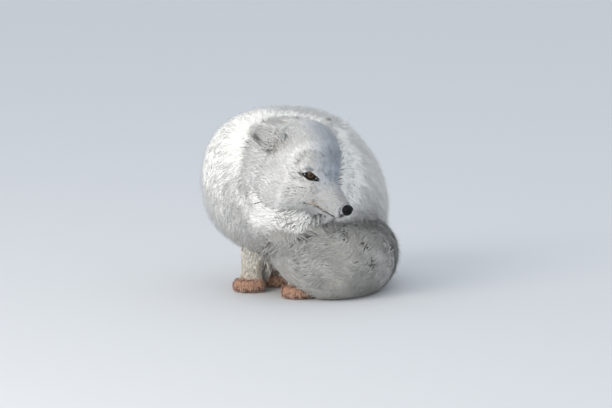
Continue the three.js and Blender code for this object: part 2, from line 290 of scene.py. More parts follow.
legForms = {
    "radii": (26, 15.5, 14.5),
    "wrist": (8, 62), "ankle": (5, 20),
    "right": {"foot": (88, -43), "elbow": (64, -43, 118)},
    "left": {"foot": (91, 45), "elbow": (64, 38, 118)},
    "hind": [
        ((14, -54, 84), (-52, -46, 30), (30, 15)),
        ((-52, -46, 30), (29, -38, 16), (14, 11)),
        ((10, 48, 84), (-52, 44, 30), (30, 15)),
        ((-52, 44, 30), (29, 32, 16), (14, 11)),
    ],
}
# each paw's frame stands on the ground under the foot, with +X to the toes; feet are x, y and degrees of turn
pawForms = {
    "feet": {"frontRight": (88, -43, 30), "frontLeft": (91, 45, 33), "hindRight": (29, -38, 24),
             "hindLeft": (29, 32, 6)},
    "pad": ((-4, 0, 9), (19.5, 15.5, 12.5)),
    "toes": [(11.5, -15.6), (18, -5.4), (18, 5.4), (11.5, 15.6)],
    "toe": (11, 5.7, 8.6), "toeHeight": 9.2,
}
# in the frame, from the rump round the fox's left side to the front
tailForm = {
    "way": [(62, 96, 84), (77, 120, 62), (93, 72, 50), (90, 12, 47), (77, -38, 47), (43, -72, 50),
            (10, -81, 60), (-14, -82, 68)],
    "radii": [34, 26, 25, 26, 26, 25, 20, 12],
}
# each ear is half of a rounded cup, open along +X from mouthAt
earForm = {
    "middle": (0, 0, 17), "size": (12.2, 17, 28), "mouthAt": 3.2, "wall": 3.4,
    "right": {"at": (-59, -47, 23), "back": 37, "out": 68, "turn": 38},
    "left": {"at": (-60, 48, 18), "back": 25, "out": 50, "turn": 30},
}


def earFrame(side):
    ear, sign = earForm[side], sides[side]
    return (headFrame @ shifted(ear["at"]) @ turned("X", -sign * ear["out"]) @ turned("Y", -ear["back"])
            @ turned("Z", sign * ear["turn"]))


def pawFrame(paw):
    x, y, turn = pawForms["feet"][paw]
    return trunkFrame @ shifted((x, y, 0)) @ turned("Z", turn)


def headForms(bm):
    for at, size in skinForms["rounds"]:
        lump(bm, headFrame, at, size)
    for (x, y, z), size in skinForms["paired"]:
        lump(bm, headFrame, (x, y, z), size)
        lump(bm, headFrame, (x, -y, z), size)
    for start, end, radii in skinForms["bars"]:
        limb(bm, headFrame, start, end, radii)


def pawForm(bm, paw):
    lump(bm, pawFrame(paw), *pawForms["pad"])
    for x, y in pawForms["toes"]:
        lump(bm, pawFrame(paw), (x, y, pawForms["toeHeight"]), pawForms["toe"])


def earShell(bm, side):
    shell = bmesh.new()
    lump(shell, Matrix.Identity(4), earForm["middle"], earForm["size"])
    bmesh.ops.bisect_plane(shell, geom=shell.verts[:] + shell.edges[:] + shell.faces[:], dist=1e-6,
                           plane_co=(earForm["mouthAt"] * mm, 0, 0), plane_no=(1, 0, 0), clear_outer=True)
    bmesh.ops.solidify(shell, geom=shell.faces[:], thickness=earForm["wall"] * mm)
    poured(bm, shell, earFrame(side))


def frontLeg(bm, side):
    x, y = legForms[side]["foot"]
    radii = legForms["radii"]
    wrist, ankle = ((x - behind, y, height) for behind, height in (legForms["wrist"], legForms["ankle"]))
    limb(bm, trunkFrame, legForms[side]["elbow"], wrist, radii[:2])
    limb(bm, trunkFrame, wrist, ankle, radii[1:])


def keepUnderCoat(co):
    # the face stays a little under the coat's outer surface
    inHead = headPlaces(co)
    x, depth = inHead[:, 0], skinForms["faceDepth"] * mm
    face = (x > skinForms["faceBack"]) & (x < skinForms["faceFront"])
    face &= np.linalg.norm(inHead, axis=1) < skinForms["faceReach"]
    for index in np.flatnonzero(face):
        spot, facing, _, _ = bodyOuter.find_nearest(Vector(co[index]))
        if (spot - Vector(co[index])).dot(facing) < depth:
            co[index] = spot - facing * depth


def buildSkin():
    core = coatSurface(("trunk", "neck", "head"), skinForms["coreBridge"])
    core = remeshed(core, skinForms["coreVoxel"], skinForms["coreSmoothing"])
    swollen(core, -skinForms["coreDepth"])
    bm = bmesh.new()
    bm.from_mesh(core.data)
    bpy.data.objects.remove(core)
    headForms(bm)
    for paw in pawForms["feet"]:
        pawForm(bm, paw)
    for side in sides:
        earShell(bm, side)
        frontLeg(bm, side)
    for start, end, radii in legForms["hind"]:
        limb(bm, trunkFrame, start, end, radii)
    way, radii = tailForm["way"], tailForm["radii"]
    for number in range(len(way) - 1):
        limb(bm, Matrix.Identity(4), way[number], way[number + 1], radii[number:number + 2])
    piece = remeshed(pieceFrom(bm, "skin"), skinForms["voxel"], skinForms["smoothing"])
    co = corners(piece.data)
    keepUnderCoat(co)
    co[:, 2] = np.maximum(co[:, 2], skinForms["soleHeight"] * mm)
    setCorners(piece.data, co)
    return piece


stage("skin")
skin = buildSkin()

# the eye's own plane has u towards the nose and w up, in mm from the middle of the iris
eyeForm = {
    "gaze": (0.6, 0.79, 0.1), "shift": (-2.2, -0.6), "sunk": 0.6, "radius": 9.5,
    "opening": {"corners": ((-8.6, -2.6), (7.9, -1.6)), "upper": 4.2, "lower": 3.1},
    "rim": {"corners": ((-11.8, -3.8), (16.2, -4.0)), "upper": 6.0, "lower": 4.0},
    "roundness": 0.72,
    "lidThickness": 1.3, "lidReach": 6, "hollow": 2.5, "hollowReach": 8,
}
# the part of the skin that gets a finer mesh
faceForm = {"back": -20, "side": 44, "low": -56, "high": 34}


def eyePlane(side):
    # centre, gaze, forward and up axes of an eye, in the head's frame
    sign = sides[side]
    x, y, z = eyeForm["gaze"]
    gaze = Vector((x, sign * y, z)).normalized()
    forward = (Vector((1, 0, 0)) - gaze * gaze.x).normalized()
    up = forward.cross(gaze) * -sign
    if up.z < 0:
        up = -up
    centre = headFrame.inverted() @ nodeCentre("eye_" + side) / mm
    across, rise = eyeForm["shift"]
    return centre + forward * across + up * rise - gaze * eyeForm["sunk"], gaze, forward, up


def seenFromEye(side, inHead):
    # how far places lie from the eye, ahead of it, along u and along w, and the ways to them
    centre, gaze, forward, up = (np.array(axis) for axis in eyePlane(side))
    away = inHead - centre
    return np.linalg.norm(away, axis=1), away @ gaze, away @ forward, away @ up, away


def insideAlmond(form, u, w):
    # how many mm inside an eye's opening or rim
    (u1, w1), (u2, w2) = form["corners"]
    share = np.clip((u - u1) / (u2 - u1), 0, 1)
    bow = np.power(np.maximum(4 * share * (1 - share), 0), eyeForm["roundness"])
    line = w1 + (w2 - w1) * share
    top, bottom = line + form["upper"] * bow, line - form["lower"] * bow
    return np.minimum.reduce([top - w, w - bottom, u - u1, u2 - u])


def refineFace():
    bm = bmesh.new()
    bm.from_mesh(skin.data)
    back = headFrame.inverted()
    near = set()
    for v in bm.verts:
        x, y, z = back @ v.co / mm
        if x > faceForm["back"] and abs(y) < faceForm["side"] and faceForm["low"] < z < faceForm["high"]:
            near.add(v.index)
    edges = [e for e in bm.edges if e.verts[0].index in near and e.verts[1].index in near]
    bmesh.ops.subdivide_edges(bm, edges=edges, cuts=1, use_grid_fill=True)
    bmesh.ops.triangulate(bm, faces=[f for f in bm.faces if len(f.verts) > 4])
    bm.to_mesh(skin.data)
    bm.free()


def carveEyes():
    co = headPlaces(corners(skin.data))
    radius = eyeForm["radius"]
    for side in sides:
        reach, ahead, u, w, away = seenFromEye(side, co)
        inside = ramp(insideAlmond(eyeForm["opening"], u, w), -0.5, 0.7) * (ahead > 0)
        # the lids' mass round the eyeball, then the opening itself
        lid = ramp(ahead / np.maximum(reach, 1), 0.1, 0.5)
        wanted = np.maximum(reach, radius + eyeForm["lidThickness"])
        raised = reach + (wanted - reach) * lid * (reach < radius + eyeForm["lidReach"])
        hollow = (radius - eyeForm["hollow"] - raised) * inside * (reach < radius + eyeForm["hollowReach"])
        co = co - away + away * ((raised + hollow) / np.maximum(reach, 1e-6))[:, None]
    setCorners(skin.data, inFrame(headFrame, co * mm))


# the line between the lips, from under the nose back to its corner, on the fox's left
mouthForm = {
    "way": [(53.5, 0.5, -40), (51.5, 4.5, -40.6), (47, 8, -41.4), (41, 9.5, -42.2), (34, 11.5, -43),
            (27, 14, -43), (20, 18.5, -42.4), (13.5, 24, -40.8), (8, 29.5, -39), (5, 33, -37.6)],
    "points": 60, "middle": (30, 0, -40), "around": 60,
    "groove": 1.6, "grooved": (0.3, 2.6), "bare": (1.5, 3),
    "lip": 0.95, "lipEnd": 0.45, "lipLeast": 0.05, "lipRise": (1.5, 4.8), "lipUnderCoat": 0.2,
}


def mouthWay(side):
    # evenly spaced points of the mouth line on the skin, in the frame
    way = np.array(mouthForm["way"], float) * [1, sides[side], 1]
    at = np.linspace(0, len(way) - 1, mouthForm["points"])
    low = np.minimum(at.astype(int), len(way) - 2)
    t = (at - low)[:, None]
    before, after = way[np.maximum(low - 1, 0)], way[np.minimum(low + 2, len(way) - 1)]
    start, end = way[low], way[low + 1]
    smooth = 0.5 * (2 * start + (end - before) * t + (2 * before - 5 * start + 4 * end - after) * t ** 2
                    + (3 * start - before - 3 * end + after) * t ** 3)
    tree = treeOf(skin)
    return np.array([tree.find_nearest(Vector(p))[0] for p in inFrame(headFrame, smooth * mm)])


def besideMouth(co, way, low, high):
    # 0 within low mm of a mouth line and 1 beyond high mm
    share = np.ones(len(co))
    near = np.linalg.norm(headPlaces(co) - mouthForm["middle"], axis=1) < mouthForm["around"]
    share[near] = ramp(np.sqrt(((co[near][:, None] - way[None]) ** 2).sum(2).min(1)) / mm, low, high)
    return share


def carveMouth():
    co, normals = corners(skin.data), cornerNormals(skin.data)
    for way in mouthWays.values():
        depth = (1 - besideMouth(co, way, *mouthForm["grooved"])) * mouthForm["groove"]
        co = co - normals * (depth * mm)[:, None]
    setCorners(skin.data, co)


stage("face")
refineFace()
carveEyes()
mouthWays = {side: mouthWay(side) for side in sides}
carveMouth()
skin.data.shade_smooth()
skinTree = treeOf(skin)


def added(material, kind, values=None):
    # a new shader node with its plain values
    node = material.node_tree.nodes.new("ShaderNode" + kind)
    for socket, value in (values or {}).items():
        node.inputs[socket].default_value = value
    return node


def attributeNode(material, name):
    node = added(material, "Attribute")
    node.attribute_name = name
    return node


def tinted(material, place, noise, levels, paint):
    # noise at these places darkens and lightens a colour, or a socket's colour
    link = material.node_tree.links.new
    noise, levels = added(material, "TexNoise", noise), added(material, "MapRange", levels)
    tint = added(material, "VectorMath")
    tint.operation = "SCALE"
    if isinstance(paint, tuple):
        tint.inputs[0].default_value = paint
    else:
        link(paint, tint.inputs[0])
    link(place, noise.inputs["Vector"])
    link(noise.outputs["Fac"], levels.inputs["Value"])
    link(levels.outputs["Result"], tint.inputs["Scale"])
    link(tint.outputs["Vector"], material.node_tree.nodes["Principled BSDF"].inputs["Base Color"])


def plainFinish(name, colour, sockets):
    material = bpy.data.materials.new(name)
    material.use_nodes = True
    shader = material.node_tree.nodes["Principled BSDF"]
    for socket, value in {"Base Color": (*colour, 1), **sockets}.items():
        shader.inputs[socket].default_value = value
    return material


def finish(name, colour, sockets, mottle, bump=None, attribute=None):
    # mottle is (scale, darkest, lightest); bump is (scale, strength, distance)
    material = plainFinish(name, colour, sockets)
    place = added(material, "TexCoord").outputs["Object"]
    scale, darkest, lightest = mottle
    paint = attributeNode(material, attribute).outputs["Color"] if attribute else colour
    tinted(material, place, {"Scale": scale, "Detail": 3},
           {"From Min": 0.3, "From Max": 0.7, "To Min": darkest, "To Max": lightest}, paint)
    if bump:
        scale, strength, distance = bump
        link = material.node_tree.links.new
        noise = added(material, "TexNoise", {"Scale": scale})
        relief = added(material, "Bump", {"Strength": strength, "Distance": distance * mm})
        link(place, noise.inputs["Vector"])
        link(noise.outputs["Fac"], relief.inputs["Height"])
        link(relief.outputs["Normal"], material.node_tree.nodes["Principled BSDF"].inputs["Normal"])
    return material


details = []


def keep(piece, material, slot, nodes=()):
    piece.data.materials.append(material)
    piece.data.shade_smooth()
    details.append((piece, slot, nodes))


# distances in mm from the middle of the iris
irisForm = {
    "pupil": 2.5, "iris": 4.8, "cornea": 0.7, "corneaReach": 6, "upright": 1.12, "spokes": 9,
    "amber": (0.05, 0.022, 0.007), "bright": (0.16, 0.078, 0.02), "dark": (0.012, 0.008, 0.006),
    "wet": {"Roughness": 0.06, "Coat Weight": 0.22, "Coat Roughness": 0.03, "Specular IOR Level": 0.2},
}


def eyeFinish():
    # "reach" is the distance from the iris's middle in cm
    material = plainFinish("wet eye", irisForm["dark"], irisForm["wet"])
    ramps = added(material, "ValToRGB")
    dark, amber = irisForm["dark"], irisForm["amber"]
    pupil, iris = irisForm["pupil"] / 10, irisForm["iris"] / 10
    stops = [(pupil - 0.015, dark), (pupil + 0.02, amber), ((pupil + iris) / 2, irisForm["bright"]),
             (iris - 0.06, amber), (iris, dark)]
    ramps.color_ramp.elements.remove(ramps.color_ramp.elements[1])
    ramps.color_ramp.elements[0].color = (*dark, 1)
    for at, colour in stops:
        ramps.color_ramp.elements.new(at).color = (*colour, 1)
    material.node_tree.links.new(attributeNode(material, "reach").outputs["Fac"], ramps.inputs["Fac"])
    spoke = attributeNode(material, "spoke").outputs["Vector"]
    tinted(material, spoke, {"Scale": irisForm["spokes"], "Detail": 2}, {"To Min": 0.45, "To Max": 1.35},
           ramps.outputs["Color"])
    return material


def cornerValues(mesh, name, kind, field, values):
    pushed(mesh.attributes.new(name, kind, "POINT").data, field, values)


def buildEye(side, material):
    centre, gaze, _, up = eyePlane(side)
    turn = Matrix((up.cross(gaze), up, gaze)).transposed().to_4x4()
    bm = bmesh.new()
    bmesh.ops.create_uvsphere(bm, u_segments=64, v_segments=48, radius=eyeForm["radius"] * mm)
    for v in bm.verts:
        away = math.hypot(v.co.x, v.co.y) / mm
        if v.co.z > 0:
            v.co.z += irisForm["cornea"] * mm * max(0, 1 - (away / irisForm["corneaReach"]) ** 2)
    piece = finished(bm, "eye" + side.capitalize())
    x, y, z = corners(piece.data).T / mm
    away = np.where(z < 0, 10, np.hypot(x * irisForm["upright"], y))
    angle = np.arctan2(y, x)
    cornerValues(piece.data, "reach", "FLOAT", "value", away / 10)
    cornerValues(piece.data, "spoke", "FLOAT_VECTOR", "vector",
                 np.stack([np.cos(angle), np.sin(angle), away * 0.02], 1))
    piece.data.transform(headFrame @ shifted(centre) @ turn)
    keep(piece, material, "eye", ["eye_" + side])


# rows run from the eyeball over the lids' edge into the skin: share of the way, what it rests on, height
lidForm = {
    "rows": [(0, "ball", 0.05), (0.16, "ball", 0.5), (0.45, "skin", 0.45), (0.8, "skin", 0.3),
             (1.12, "skin", -0.6)],
    "points": 72, "gap": 0.05, "onBallTo": 0.6, "lookFrom": 40, "thickness": 0.4,
}


def almondPoint(form, angle):
    (u1, w1), (u2, w2) = form["corners"]
    along = (1 - math.cos(angle)) / 2
    bow = abs(math.sin(angle)) ** (2 * eyeForm["roundness"])
    height = form["upper"] if math.sin(angle) > 0 else -form["lower"]
    return Vector((u1 + (u2 - u1) * along, w1 + (w2 - w1) * along + height * bow))


def buildLids(side, material):
    centre, gaze, forward, up = eyePlane(side)
    back = headFrame.to_3x3() @ -gaze

    def lidPlace(angle, share, rest, height):
        u, w = almondPoint(eyeForm["opening"], angle).lerp(almondPoint(eyeForm["rim"], angle), share)
        flat = centre + forward * u + up * w
        ball = math.sqrt(max((eyeForm["radius"] + lidForm["gap"]) ** 2 - u * u - w * w, 0))
        hit = skinTree.ray_cast(headFrame @ ((flat + gaze * lidForm["lookFrom"]) * mm), back)
        onSkin = lidForm["lookFrom"] - hit[3] / mm if hit[0] else ball
        base = ball if rest == "ball" else max(onSkin, ball * (share < lidForm["onBallTo"]))
        return headFrame @ ((flat + gaze * (base + height)) * mm)

    # rings are grown on a plain circle, whose angles place them at the end
    bm = bmesh.new()
    ring = bmesh.ops.create_circle(bm, segments=lidForm["points"], radius=1)["verts"]
    edges = bm.edges[:]
    places = {}
    for number, row in enumerate(lidForm["rows"]):
        if number:
            grown = bmesh.ops.extrude_edge_only(bm, edges=edges)["geom"]
            ring = {part for part in grown if isinstance(part, bmesh.types.BMVert)}
            edges = [e for e in grown if isinstance(e, bmesh.types.BMEdge) and ring.issuperset(e.verts)]
        for v in ring:
            places[v] = lidPlace(math.atan2(v.co.y, v.co.x), *row)
    for v, place in places.items():
        v.co = place
    piece = finished(bm, "eyelids" + side.capitalize())
    shell = piece.modifiers.new("thickness", "SOLIDIFY")
    shell.thickness = lidForm["thickness"] * mm
    keep(piece, material, "eyelid")


eyeMaterial = eyeFinish()
lidMaterial = finish("eyelid edge", (0.009, 0.007, 0.006), {"Roughness": 0.5, "Specular IOR Level": 0.15},
                     (900, 0.7, 1.3), (1500, 0.3, 0.3))
for side in sides:
    buildEye(side, eyeMaterial)
    buildLids(side, lidMaterial)

# on a ball of radius 1 with +X forward: way, depth or height, and width of each dent and swelling
noseForm = {
    "at": (58.9, 0, -27.5), "size": (7.5, 8.9, 8.5),
    "nostril": ((0.80, 0.50, 0.02), 0.34, 0.20),
    "slit": ((0.42, 0.86, -0.14), 0.045, 0.085), "slitSteps": 6,
    "wing": ((0.62, 0.62, 0.40), 0.06, 0.30),
    "groove": (0.07, 0.07), "grooveTop": 0.35, "grooveFade": 0.3,
    "front": 0.90, "topFlat": 0.10, "lowNarrow": 0.30,
}


def bell(away, height, width):
    return height * math.exp(-(away / width) ** 2)


def noseReach(way):
    # how far the nose's surface lies along this way
    mirrored = Vector((way.x, abs(way.y), way.z))
    nostril, slit, wing = (Vector(noseForm[part][0]).normalized() for part in ("nostril", "slit", "wing"))
    reach = 1 - bell((mirrored - nostril).length, *noseForm["nostril"][1:])
    for step in range(noseForm["slitSteps"] + 1):
        at = nostril.lerp(slit, step / noseForm["slitSteps"]).normalized()
        reach -= bell((mirrored - at).length, *noseForm["slit"][1:])
    reach += bell((mirrored - wing).length, *noseForm["wing"][1:])
    fade = 1 - (way.z - noseForm["grooveTop"]) / noseForm["grooveFade"]
    return reach - bell(way.y, *noseForm["groove"]) * max(0, way.x) * min(max(fade, 0), 1)


def buildNose(material):
    bm = bmesh.new()
    bmesh.ops.create_uvsphere(bm, u_segments=96, v_segments=64, radius=1)
    bmesh.ops.rotate(bm, verts=bm.verts, cent=(0, 0, 0), matrix=turned("Y", 90))
    front, topFlat, lowNarrow = (noseForm[part] for part in ("front", "topFlat", "lowNarrow"))
    for v in bm.verts:
        way = v.co.normalized()
        v.co = way * noseReach(way)
        v.co.x = min(v.co.x, front + (1 - front) * v.co.x)
        v.co.z *= 1 - topFlat * max(0, way.z)
        v.co.y *= 1 - lowNarrow * max(0, -way.z) ** 1.5
    place = headFrame @ shifted(noseForm["at"]) @ stretched(noseForm["size"])
    bmesh.ops.transform(bm, matrix=place, verts=bm.verts)
    keep(finished(bm, "nosePad"), material, "nose", ["nose"])


buildNose(finish("moist nose skin", (0.005, 0.005, 0.006), {"Roughness": 0.45, "Specular IOR Level": 0.15},
                 (700, 0.6, 1.5), (1300, 0.9, 0.5)))


def buildLip(side, material):
    # a tapering bar along the mouth's line, lifted to the coat's outer surface
    curve = bpy.data.curves.new("lip", "CURVE")
    curve.dimensions = "3D"
    curve.bevel_depth = mm
    curve.bevel_resolution = 3
    curve.use_fill_caps = True
    spline = curve.splines.new("POLY")
    way = mouthWays[side]
    spline.points.add(len(way) - 1)
    least, most = mouthForm["lipRise"]
    for number, point in enumerate(way):
        share = number / (len(way) - 1)
        spot, facing, _, _ = skinTree.find_nearest(Vector(point))
        deep = (bodyOuter.ray_cast(spot, facing)[3] or 0) / mm
        rise = max(least, min(deep - mouthForm["lipUnderCoat"], most))
        spline.points[number].co = (*(spot + facing * rise * mm), 1)
        taper = 1 - (1 - mouthForm["lipEnd"]) * share
        spline.points[number].radius = mouthForm["lip"] * taper + mouthForm["lipLeast"]
    rod = placed("lip", curve)
    piece = placed("lip" + side.capitalize(), meshNow(rod))
    bpy.data.objects.remove(rod)
    bpy.data.curves.remove(curve)
    piece.data.materials.clear()
    keep(piece, material, "eyelid")


lipMaterial = finish("lip edge", (0.035, 0.024, 0.02), {"Roughness": 0.45}, (600, 0.6, 1.4), (1200, 0.4, 0.3))
for side in sides:
    buildLip(side, lipMaterial)

# sizes in mm, drop in degrees over the claw's length
clawForm = {
    "length": 9, "radius": 1.7, "point": 0.12, "drop": 42, "flatten": 0.7, "shallow": 0.75, "steps": 6,
    "before": 8.5, "height": 7.5, "fanFrom": 46,
}


def clawAt(bm, place):
    claw = bmesh.new()
    bmesh.ops.create_cone(claw, cap_ends=True, segments=12, radius1=1, radius2=clawForm["point"], depth=1)
    bmesh.ops.translate(claw, verts=claw.verts, vec=(0, 0, 0.5))
    lengthwise = [e for e in claw.edges if abs(e.verts[0].co.z - e.verts[1].co.z) > 0.5]
    bmesh.ops.subdivide_edges(claw, edges=lengthwise, cuts=clawForm["steps"])
    radius = clawForm["radius"]
    for v in claw.verts:
        x, y, t = v.co
        bow, reach = math.radians(clawForm["drop"]) * t, clawForm["length"] * t
        v.co = Vector((reach * math.cos(bow) + x * radius * math.sin(bow), y * radius * clawForm["flatten"],
                       -reach * math.sin(bow) * clawForm["shallow"] + x * radius * math.cos(bow)))
    bmesh.ops.recalc_face_normals(claw, faces=claw.faces)
    poured(bm, claw, place @ stretched((1, 1, 1)))


def buildClaws(paw, material):
    bm = bmesh.new()
    for x, y in pawForms["toes"]:
        out = math.degrees(math.atan2(y, clawForm["fanFrom"]))
        at = (x + clawForm["before"], y, clawForm["height"])
        clawAt(bm, pawFrame(paw) @ shifted(at) @ turned("Z", out))
    keep(finished(bm, paw + "Claws"), material, "claw")


clawMaterial = finish("claw horn", (0.03, 0.02, 0.016), {"Roughness": 0.3}, (500, 0.6, 1.6), (900, 0.2, 0.2))
for paw in pawForms["feet"]:
    buildClaws(paw, clawMaterial)

stage("whiskers")
# roots in the head's frame on the fox's left, with each one's length, in mm
whiskerForm = {
    "roots": [((41, 13, -32), 30), ((37, 14.5, -29), 36), ((35, 15.5, -34), 40), ((31, 17, -31), 48),
              ((27, 18.5, -35), 46), ((24, 19.5, -31), 42)],
    "way": (-0.62, 0.62, -0.28), "fan": 0.05, "spread": 0.12,
    "thick": 0.32, "taper": 0.85, "points": 14, "sag": 7, "buried": 1.5,
}


def whisker(bm, start, way, length):
    across = way.cross(Vector((0, 0, 1))).normalized()
    over = across.cross(way)
    last, before = whiskerForm["points"] - 1, None
    for step in range(last + 1):
        t = step / last
        sag = Vector((0, 0, -whiskerForm["sag"] * t * t))
        centre = start + (way * (length * t - whiskerForm["buried"]) + sag) * mm
        radius = whiskerForm["thick"] * (1 - whiskerForm["taper"] * t) * mm / 2
        ring = bmesh.ops.create_circle(bm, segments=5, radius=radius, cap_ends=step in (0, last))["verts"]
        for v in ring:
            v.co = centre + across * v.co.x + over * v.co.y
        edges = list({e for v in ring for e in v.link_edges})
        if before:
            bmesh.ops.bridge_loops(bm, edges=before + edges)
        before = edges


def buildWhiskers(side, material):
    bm = bmesh.new()
    sign = sides[side]
    back, out, down = whiskerForm["way"]
    for number, ((x, y, z), length) in enumerate(whiskerForm["roots"]):
        start = skinTree.find_nearest(headFrame @ (Vector((x, y * sign, z)) * mm))[0]
        way = Vector((back, sign * (out + whiskerForm["fan"] * (number % 3)),
                      down + whiskerForm["spread"] * (number % 2)))
        whisker(bm, start, (headFrame.to_3x3() @ way).normalized(), length)
    keep(finished(bm, "whiskers" + side.capitalize()), material, "whisker")


whiskerMaterial = finish("whisker", (0.75, 0.73, 0.70), {"Roughness": 0.4, "Specular IOR Level": 0.4},
                         (700, 0.9, 1.1), (1500, 0.2, 0.2))
for side in sides:
    buildWhiskers(side, whiskerMaterial)


def unwrapped(piece):
    piece.data.uv_layers.new(name="OFBake")
    bpy.ops.object.select_all(action="DESELECT")
    piece.select_set(True)
    bpy.context.view_layer.objects.active = piece
    bpy.ops.object.mode_set(mode="EDIT")
    bpy.ops.mesh.select_all(action="SELECT")
    bpy.ops.uv.smart_project(angle_limit=math.radians(66), island_margin=0.002)
    bpy.ops.object.mode_set(mode="OBJECT")


stage("unwrap")
unwrapped(skin)

stage("parts of the skin")
partNames = ["trunk", "neck", "head", "ear", "leg", "paw", "tail"]
skinCo, skinNormals = corners(skin.data), cornerNormals(skin.data)
headCo = headPlaces(skinCo)
edgeEnds = pulled(skin.data.edges, "vertices", 2, np.int32)
edgeCount = np.maximum(np.bincount(edgeEnds.ravel(), minlength=len(skinCo)), 1)[:, None]


def spread(values, rounds):
    # averages values over the skin's neighbouring corners
    for _ in range(rounds):
        total = np.zeros_like(values)
        for column in range(values.shape[1]):
            total[:, column] = (np.bincount(edgeEnds[:, 0], values[edgeEnds[:, 1], column], len(values))
                                + np.bincount(edgeEnds[:, 1], values[edgeEnds[:, 0], column], len(values)))
        values = 0.5 * values + 0.5 * total / edgeCount
    return values


def besideBar(places, start, end):
    # how far along a bar each place lies, as a share of it, and how far off
    start, along = np.array(start, float), np.array(end, float) - start
    t = np.clip((places - start) @ along / (along @ along), 0, 1)
    return t, np.linalg.norm(places - start - t[:, None] * along, axis=1)


def alongTail(points):
    # which points lie in the tail or close to it, and the way that it runs there
    way, radii = np.array(tailForm["way"], float), tailForm["radii"]
    slopes = unit(np.gradient(way, axis=0))
    reach, core, lie = np.full(len(points), 1e9), np.zeros(len(points)), np.zeros((len(points), 3))
    for n in range(len(way) - 1):
        t, far = besideBar(points / mm, way[n], way[n + 1])
        closer = far < reach
        reach[closer], core[closer] = far[closer], (radii[n] + (radii[n + 1] - radii[n]) * t)[closer]
        lie[closer] = (slopes[n] * (1 - t[:, None]) + slopes[n + 1] * t[:, None])[closer]
    return reach < core + 3, unit(lie)


def partsOf(points):
    # each point's share of the coat's parts, from the CAD node nearest to it
    nodeFaces, nodePart, nodePoints = [], [], []
    for name in fleshNodes:
        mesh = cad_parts[name].data
        first = len(nodePoints)
        nodePoints += [v.co.copy() for v in mesh.vertices]
        nodeFaces += [[first + v for v in face.vertices] for face in mesh.polygons]
        part = next(number for number, part in enumerate(partNames) if part in name)
        nodePart += [part] * len(mesh.polygons)
    tree = BVHTree.FromPolygons(nodePoints, nodeFaces)
    owner = np.array([nodePart[tree.find_nearest(Vector(p))[2]] for p in points])
    owner[alongTail(points)[0]] = partNames.index("tail")
    return np.eye(len(partNames))[owner]


skinParts = spread(partsOf(skinCo), 30)
# how the hair lies, as ways in each part's own frame; distances in mm
lieForm = {
    "headOut": 0.3, "headUp": (0.55, -4, 22), "headDown": (0.45, 8, 34), "fromEye": (0.4, 12, 22),
    "trunkBack": (-0.3, -0.6), "trunkTop": (-0.1, 0.7), "trunkShare": 0.6,
    "ruff": 1.1, "ruffMiddle": (-40, 0, -10), "ruffFade": (60, 170), "ruffBack": -0.6, "ruffSize": 45,
    "tailFall": (0.6, -15, 45), "pawTurn": 28, "pawDrop": -0.45, "earReach": 60,
}


def headLie():
    _, y, z = headCo.T
    up, upFrom, upTo = lieForm["headUp"]
    down, downFrom, downTo = lieForm["headDown"]
    lie = np.stack([-np.ones(len(y)), lieForm["headOut"] * np.clip(y / 20, -1, 1),
                    up * ramp(z, upFrom, upTo) - down * ramp(-z, downFrom, downTo)], 1)
    share, low, high = lieForm["fromEye"]
    for side in sides:
        reach, _, _, _, away = seenFromEye(side, headCo)
        lie += unit(away) * (share * (1 - ramp(reach, low, high)))[:, None]
    return unit(towards(headTurn, lie))


def trunkLie():
    # hair falls down the sides and runs back along the top
    back, more = lieForm["trunkBack"]
    upward = ramp(skinNormals[:, 2], *lieForm["trunkTop"])
    lie = np.stack([back + more * upward, np.zeros(len(upward)), -np.ones(len(upward))], 1)
    return unit(towards(trunkFrame, lie))


def neckLie(trunk):
    # round the face the ruff points away from it
    _, y, z = headCo.T
    size = lieForm["ruffSize"]
    away = np.stack([np.full(len(y), lieForm["ruffBack"]), np.clip(y / size, -1, 1),
                     np.clip((z + 12) / size, -1, 0)], 1)
    reach = np.linalg.norm(headCo - lieForm["ruffMiddle"], axis=1)
    near = lieForm["ruff"] * (1 - ramp(reach, *lieForm["ruffFade"]))
    return unit(towards(headTurn, away) * near[:, None] + trunk)


def earLie():
    lie = np.zeros((len(skinCo), 3))
    for side in sides:
        reach = np.linalg.norm(skinCo - np.array(earFrame(side).translation), axis=1)
        lie[reach < lieForm["earReach"] * mm] = towards(earFrame(side), [[0, 0, 1]])
    return lie


def tailLie():
    # along the tail, and falling where it bends round the feet
    fall, low, high = lieForm["tailFall"]
    return unit(alongTail(skinCo)[1] + (fall * ramp(skinCo[:, 0] / mm, low, high))[:, None] * [0, 0, -1])


def lieOfCoat():
    # the way the hair points at each corner of the skin
    down = np.tile([0.0, 0.0, -1.0], (len(skinCo), 1))
    trunk = trunkLie()
    neck = neckLie(trunk)
    toes = towards(trunkFrame @ turned("Z", lieForm["pawTurn"]), [[1, 0, 0]]) + [0, 0, lieForm["pawDrop"]]
    lies = [unit(trunk * lieForm["trunkShare"] + neck), neck, headLie(), earLie(), down,
            unit(np.tile(toes, (len(skinCo), 1))), tailLie()]
    lie = sum(skinParts[:, number:number + 1] * each for number, each in enumerate(lies))
    for _ in range(3):
        lie = spread(lie, 5)
        lie -= (lie * skinNormals).sum(1)[:, None] * skinNormals
        lie = unit(lie)
    return lie


skinLie = lieOfCoat()
coatColours = {
    "white": (0.96, 0.95, 0.925), "whiteRoot": (0.95, 0.935, 0.90),
    # the face's grey is partly its own winter tone and partly painted shade, standing in for the head's side
    # turned from the light
    "face": (0.69, 0.69, 0.68), "faceRoot": (0.55, 0.56, 0.57),
    "ear": (0.94, 0.93, 0.91), "earRoot": (0.86, 0.85, 0.83),
    "leg": (0.99, 0.93, 0.83), "legRoot": (0.98, 0.92, 0.80),
    "paw": (0.97, 0.66, 0.50), "pawRoot": (0.60, 0.33, 0.22),
    # the tail's grey is partly its own greyish, dark-tipped fur and partly painted shade: the head's shadow
    # over it, and in the darker roots the shade in the partings between locks
    "tail": (0.55, 0.547, 0.53), "tailRoot": (0.30, 0.295, 0.28),
}
